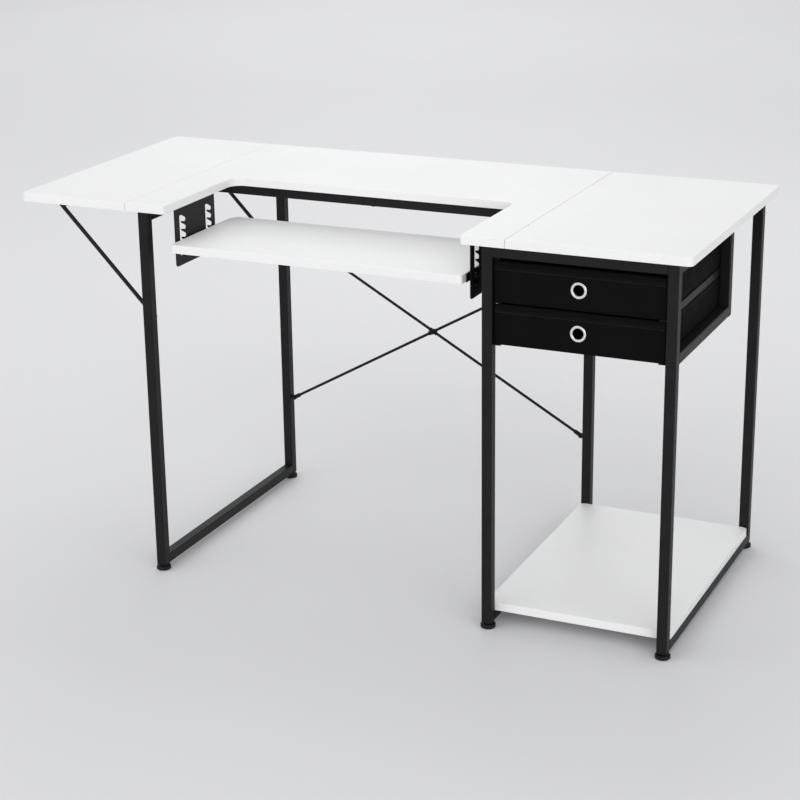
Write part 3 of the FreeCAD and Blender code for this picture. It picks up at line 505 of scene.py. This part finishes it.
def make_bin(level, low, high, material):
    """Sides, back and floor of a drawer as one limp shell."""
    builder = bmesh.new()
    path = wall_path(low, high)
    loops = []
    for index, (place, out) in enumerate(path):
        share = index / (len(path) - 1)
        sway = math.sin(BIN_WALLS * math.pi * share) ** 2
        change = BIN_BOW_CHANGE * math.sin(BIN_BOW_WAVES * share + BIN_BOW_PHASE * low.z)
        sag = BIN_SAG * sway / BIN_HEIGHT
        loops.append([
            place + out * offset + UPWARDS * (low.z + rise - sag * rise)
            for offset, rise in wall_section(sway * (BIN_BOW + change))
        ])
    add_loft(builder, loops, caps=True)
    ease = BIN_FLOOR_EASE
    section = ((0.0, ease), (0.0, 0.0), (ease, -ease), (BIN_FLOOR - ease, -ease), (BIN_FLOOR, ease))
    loops = [
        [place - out * (WALL / 2 + inset) + UPWARDS * (low.z + rise) for place, out in path]
        for rise, inset in section
    ]
    add_loft(builder, loops, caps=True)
    return new_piece("%s_drawer_bin" % level, builder, material)


def front_outline(width, height):
    """Points round a rectangle with rounded corners, evenly spread, about its middle."""
    points = []
    for quarter, (x_sign, z_sign) in enumerate(((1, 1), (-1, 1), (-1, -1), (1, -1))):
        x = x_sign * (width / 2 - FRONT_CORNER)
        z = z_sign * (height / 2 - FRONT_CORNER)
        for angle in spread(quarter * math.pi / 2, (quarter + 1) * math.pi / 2, CORNER_STEPS):
            points.append((x + FRONT_CORNER * math.cos(angle), z + FRONT_CORNER * math.sin(angle)))
    even = []
    for (x0, z0), (x1, z1) in zip(points, points[1:] + points[:1]):
        steps = max(1, round(math.hypot(x1 - x0, z1 - z0) / RIM_STEP))
        even += [(x0 + (x1 - x0) * step / steps, z0 + (z1 - z0) * step / steps) for step in range(steps)]
    return even


def make_front(level, low, high, middle, material):
    """Padded front of a drawer, with the hole that its eyelet lines."""
    builder = bmesh.new()
    width = high.x - low.x
    height = high.z - low.z
    rim = front_outline(width, height)
    shares = [share ** LOOP_CROWDING for share in spread(0.0, 1.0, LOOP_COUNT)]

    def loop_at(share, depth):
        """A loop part of the way from the hole to the rim, at a depth that may ease and ripple."""
        loop = []
        for rim_x, rim_z in rim:
            angle = math.atan2(rim_z, rim_x)
            hole_x = FRONT_HOLE * math.cos(angle)
            hole_z = FRONT_HOLE * math.sin(angle)
            x = hole_x + (rim_x - hole_x) * share
            z = hole_z + (rim_z - hole_z) * share
            edge = min(width / 2 - abs(x), height / 2 - abs(z))
            ease = FRONT_EASE * (1.0 - min(1.0, edge / EASE_WIDTH)) ** 2
            away = min(1.0, max(0.0, math.hypot(x, z) / RIPPLE_START - RIPPLE_CALM))
            wave = math.sin(RIPPLE_ACROSS * x + RIPPLE_UP * z + RIPPLE_PHASE * low.z)
            ripple = RIPPLE * away * (1.0 + wave) / 2
            loop.append(Vector((middle.x + x, low.y + depth(ease, ripple), middle.z + z)))
        return loop

    def face(ease, ripple):
        return FRONT_FACE + ease + ripple

    def back(ease, ripple):
        return FRONT_THICK - BACK_EASE_SHARE * ease

    loops = [loop_at(share, face) for share in shares]
    loops.append(loop_at(1.0, lambda ease, ripple: EASE_FRONT))
    loops.append(loop_at(1.0, lambda ease, ripple: FRONT_THICK - EASE_BACK))
    loops += [loop_at(share, back) for share in reversed(shares)]
    rows = add_loft(builder, loops)
    add_band(builder, rows[-1], rows[0])
    return new_piece("%s_drawer_front" % level, builder, material)


def tape_lean(share):
    """Depth of the tape's face behind the panel's, at a share of the way up to its top."""
    return TAPE_LEAN * share ** 2 - TAPE_PROUD


def tape_line(inset):
    """Half of the tape's section, at an inset from its outer face: depth behind the panel, and rise."""
    shoulder = TAPE_HEIGHT - TAPE_RIDGE
    shares = spread(0.0, 1.0, TAPE_POINTS)
    rear = FRONT_THICK + TAPE_REAR
    line = [(tape_lean(share) + inset, share * shoulder) for share in shares]
    centre = (tape_lean(1.0) + rear) / 2
    reach = rear - centre - inset
    for angle in spread(math.pi, 0.0, TAPE_POINTS)[1:-1]:
        rise = shoulder + (TAPE_RIDGE - inset) * math.sin(angle)
        line.append((centre + reach * math.cos(angle), rise))
    return line + [(rear - inset, share * shoulder) for share in reversed(shares)]


def make_tape(level, low, high, material):
    """Tape folded over the top edge of a drawer's front."""
    builder = bmesh.new()
    section = tape_line(0.0) + tape_line(TAPE)[::-1]
    foot = high.z - TAPE_HEIGHT
    loops = []
    for x in spread(low.x + TAPE_END, high.x - TAPE_END, TAPE_SLICES):
        short = math.sin(TAPE_SHORT_WAVES * x + TAPE_WAVE_PHASE)
        wave = TAPE_WAVE * short * math.sin(TAPE_LONG_WAVES * x)
        near = low.y - wave * TAPE_WAVE_DEPTH
        loops.append([
            Vector((x, near + depth, foot + rise + wave * (1.0 - rise / TAPE_HEIGHT)))
            for depth, rise in section
        ])
    add_loft(builder, loops, caps=True)
    return new_piece("%s_drawer_tape" % level, builder, material)


def add_stitch(builder, centre, along, out):
    """One short stitch of round thread, sunk at both ends."""
    side = along.cross(out)
    turns = [2 * math.pi * step / STITCH_SIDES for step in range(STITCH_SIDES)]
    loops = []
    for share in spread(-1.0, 1.0, STITCH_SLICES):
        radius = STITCH_RADIUS * (1.0 - STITCH_TAPER * share ** 4)
        rise = STITCH_RADIUS * (STITCH_CROWN - STITCH_DIP * share ** 2)
        spot = centre + along * (share * STITCH_LENGTH / 2) + out * rise
        loops.append([
            spot + (side * math.cos(turn) + out * math.sin(turn)) * radius
            for turn in turns
        ])
    add_loft(builder, loops, caps=True)


def stitch_row(low, high):
    """Places of the stitches between two ends of a seam."""
    count = int((high - low - 2 * STITCH_MARGIN) / STITCH_PITCH)
    return spread(low + STITCH_MARGIN, high - STITCH_MARGIN, count)


def make_stitches(level, low, high, panel_low, panel_high, material):
    """Rows of stitches along the tape and the hems of a drawer."""
    builder = bmesh.new()
    y = panel_low.y + tape_lean(STITCH_RISE / TAPE_HEIGHT)
    z = panel_high.z - TAPE_HEIGHT + STITCH_RISE
    for x in stitch_row(panel_low.x, panel_high.x):
        add_stitch(builder, Vector((x, y, z)), ACROSS, -BACKWARDS)
    rise = BIN_HEIGHT - BIN_HEM + STITCH_RISE
    row = stitch_row(low.y, high.y - BIN_CORNER)
    for edge, sign in ((low.x, -1.0), (high.x, 1.0)):
        for index, y in enumerate(row):
            sag = BIN_SAG * math.sin(math.pi * index / (len(row) - 1)) ** 2
            centre = Vector((edge + sign * HEM_PROUD, y, low.z + rise - sag))
            add_stitch(builder, centre, BACKWARDS, ACROSS * sign)
    return new_piece("%s_drawer_stitches" % level, builder, material)


def make_drawers():
    """Both drawers, each in the space of its solid and round its eyelet."""
    cloth = fabric("black_fabric", dark=(0.0016, 0.0016, 0.00163), pale=(0.0045, 0.0045, 0.0046))
    # The tape is the front's own black fabric given paler colours: a painted highlight for the light
    # that its leaning top edge catches.
    tape_cloth_painted_highlight = fabric("black_tape_painted_highlight", dark=(0.0021, 0.0021, 0.0022), pale=(0.0062, 0.0062, 0.0064))
    yarn = thread()
    for level in LEVELS:
        box = "%s_drawer_box" % level
        panel_low, panel_high = (Vector(corner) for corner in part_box(box))
        low = panel_low + Vector((PANEL_OVERLAP, PANEL_DEPTH, 0.0))
        high = panel_high - Vector((PANEL_OVERLAP, 0.0, 0.0))
        ring_low, ring_high = (Vector(corner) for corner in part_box("%s_drawer_ring" % level))
        middle = (ring_low + ring_high) / 2
        bin_piece = make_bin(level, low, high, cloth)
        front = make_front(level, panel_low, panel_high, middle, cloth)
        edge = make_tape(level, panel_low, panel_high, tape_cloth_painted_highlight)
        stitches = make_stitches(level, low, high, panel_low, panel_high, yarn)
        for piece in (bin_piece, front, edge):
            soften(piece)
        for piece in (bin_piece, front, edge, stitches):
            belong(piece, "%s_drawer" % level)
        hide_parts(box)
        dress(["%s_drawer_base" % level], cloth)


make_camera()
make_stage()
dress(list(NODES), powder_coat())
dress(BOARDS, laminate())
dress(PLASTIC, moulded_plastic())
dress(STEEL, zinc())
dress(RINGS, nickel())
make_drawers()
